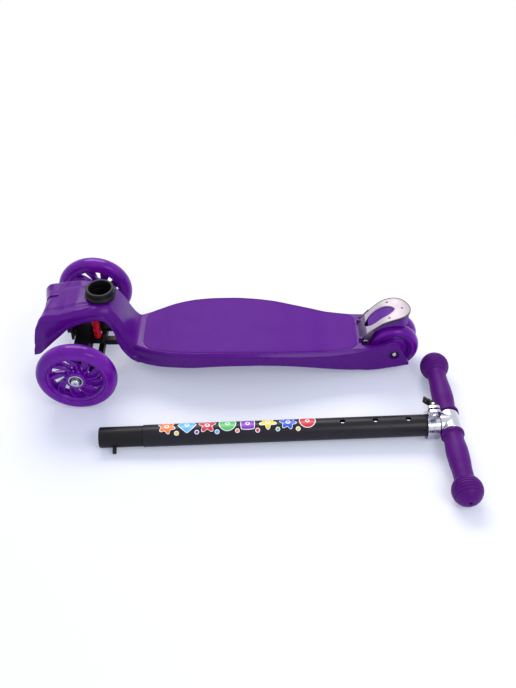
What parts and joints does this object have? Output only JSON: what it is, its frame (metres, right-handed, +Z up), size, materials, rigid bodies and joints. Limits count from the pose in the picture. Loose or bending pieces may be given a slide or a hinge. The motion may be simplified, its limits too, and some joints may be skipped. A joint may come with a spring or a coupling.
{
  "type": "three wheel kids scooter",
  "caption": "Small kick scooter with lean-to-steer light-up front wheels, twin rear wheels under a foot brake, and a telescopic T-bar that is taken off and lies beside the deck.",
  "frame": {"origin": "middle of the footprint's box, on the floor", "axes": "+X from the front wheels to the rear ones, +Y to the rider's right, +Z up"},
  "size_m": [0.6448, 0.424, 0.145],
  "materials": {
    "shell": "moulded purple plastic, soft gloss",
    "tyre": "glossy translucent purple polyurethane",
    "hub": "clear purple moulded plastic",
    "black": "black glass-filled nylon, satin",
    "steel": "zinc plated steel",
    "chrome": "polished",
    "red": "red polyurethane",
    "grip": "soft purple rubber, satin",
    "tube": "black powder coat, satin",
    "leds": "white light unit",
    "pad": "purple plastic with a moulded grain"
  },
  "bodies": {
    "axle": {"axle_beam": "black", "lean_pin": "steel", "kingpin_left": "steel", "kingpin_right": "steel", "buffer_left": "red", "buffer_right": "red"},
    "deck": {"deck_board": "shell", "steering_socket": "black", "socket_collar": "black", "pivot_bracket": "black", "bracket_screw_left": "steel", "bracket_screw_right": "steel", "rear_axle_bolt": "steel", "rear_axle_nut": "steel", "rear_wheel_washer": "steel", "brake_pin": "steel", "brake_spring": "steel"},
    "knuckle_left": {"knuckle_left": "black", "axle_bolt_left": "steel", "magnet_spacer_left": "steel"},
    "knuckle_right": {"knuckle_right": "black", "axle_bolt_right": "steel", "magnet_spacer_right": "steel"},
    "tie_rod": {"tie_rod": "steel"},
    "front_wheel_left": {"front_tyre_left": "tyre", "front_hub_left": "hub", "front_bearing_inner_left": "steel", "front_bearing_outer_left": "steel", "led_ring_left": "leds"},
    "front_wheel_right": {"front_tyre_right": "tyre", "front_hub_right": "hub", "front_bearing_inner_right": "steel", "front_bearing_outer_right": "steel", "led_ring_right": "leds"},
    "rear_wheel_left": {"rear_tyre_left": "tyre", "rear_hub_left": "hub", "rear_bearing_inner_left": "steel", "rear_bearing_outer_left": "steel"},
    "rear_wheel_right": {"rear_tyre_right": "tyre", "rear_hub_right": "hub", "rear_bearing_inner_right": "steel", "rear_bearing_outer_right": "steel"},
    "brake": {"brake_plate": "steel", "brake_pad": "pad"},
    "column": {"outer_tube": "tube", "lower_sleeve": "black", "lock_spring": "steel", "top_bush": "black", "clamp_collar": "chrome", "clamp_bolt": "steel", "clamp_nut": "steel"},
    "lock": {"lock_button": "black"},
    "handlebar": {"inner_tube": "chrome", "guide_bush": "black", "height_button": "steel", "tee_joint": "chrome", "handle_tube": "steel", "grip_left": "grip", "grip_right": "grip"},
    "lever": {"clamp_lever": "black"}
  },
  "joints": [
    {"name": "lean", "type": "hinge", "parent": "axle", "child": "deck", "pos_m": [-0.25018, 0.0929, 0.062], "axis": [1, 0, 0], "range_deg": [-12, 12], "stiffness_Nm_per_rad": 20, "deforming": ["buffer_left", "buffer_right"]},
    {"name": "steer_left", "type": "hinge", "parent": "axle", "child": "knuckle_left", "pos_m": [-0.25018, 0.0169, 0.06], "axis": [0, 0, 1], "range_deg": [-12, 12]},
    {"name": "steer_right", "type": "hinge", "parent": "axle", "child": "knuckle_right", "pos_m": [-0.25018, 0.16889, 0.06], "axis": [0, 0, 1], "range_deg": [-12, 12]},
    {"name": "tie_rod_slide", "type": "slide", "parent": "axle", "child": "tie_rod", "axis": [0, 1, 0], "range_m": [-0.0051, 0.0051]},
    {"name": "front_wheel_left_spin", "type": "hinge", "parent": "knuckle_left", "child": "front_wheel_left", "pos_m": [-0.25018, -0.00931, 0.06], "axis": [0, 1, 0], "continuous": true},
    {"name": "front_wheel_right_spin", "type": "hinge", "parent": "knuckle_right", "child": "front_wheel_right", "pos_m": [-0.25018, 0.19509, 0.06], "axis": [0, 1, 0], "continuous": true},
    {"name": "rear_wheel_left_spin", "type": "hinge", "parent": "deck", "child": "rear_wheel_left", "pos_m": [0.22782, 0.07989, 0.04], "axis": [0, 1, 0], "continuous": true},
    {"name": "rear_wheel_right_spin", "type": "hinge", "parent": "deck", "child": "rear_wheel_right", "pos_m": [0.22782, 0.1059, 0.04], "axis": [0, 1, 0], "continuous": true},
    {"name": "brake_press", "type": "hinge", "parent": "deck", "child": "brake", "pos_m": [0.18282, 0.0929, 0.0585], "axis": [0, 1, 0], "range_deg": [0, 5], "stiffness_Nm_per_rad": 2, "springref_deg": -14.32, "deforming": ["brake_spring"]},
    {"name": "column_lift", "type": "slide", "parent": "axle", "child": "column", "axis": [0, 0, 1], "range_m": [0, 0.25]},
    {"name": "lock_press", "type": "slide", "parent": "column", "child": "lock", "axis": [-0.0408, 0.9054, 0.4226], "range_m": [0, 0.007], "stiffness_N_per_m": 300, "springref_m": -0.01, "deforming": ["lock_spring"]},
    {"name": "handlebar_slide", "type": "slide", "parent": "column", "child": "handlebar", "axis": [0.9992, 0.0387, 0.0135], "range_m": [0, 0.1425]},
    {"name": "lever_open", "type": "hinge", "parent": "column", "child": "lever", "pos_m": [0.26867, -0.05929, 0.04964], "axis": [0.0135, 0.0005, -0.9999], "range_deg": [-50, 60]}
  ],
  "couplings": [
    {"joint": "steer_left", "follows": "lean", "ratio": 1},
    {"joint": "steer_right", "follows": "lean", "ratio": 1},
    {"joint": "tie_rod_slide", "follows": "lean", "m_per_rad": 0.024}
  ]
}
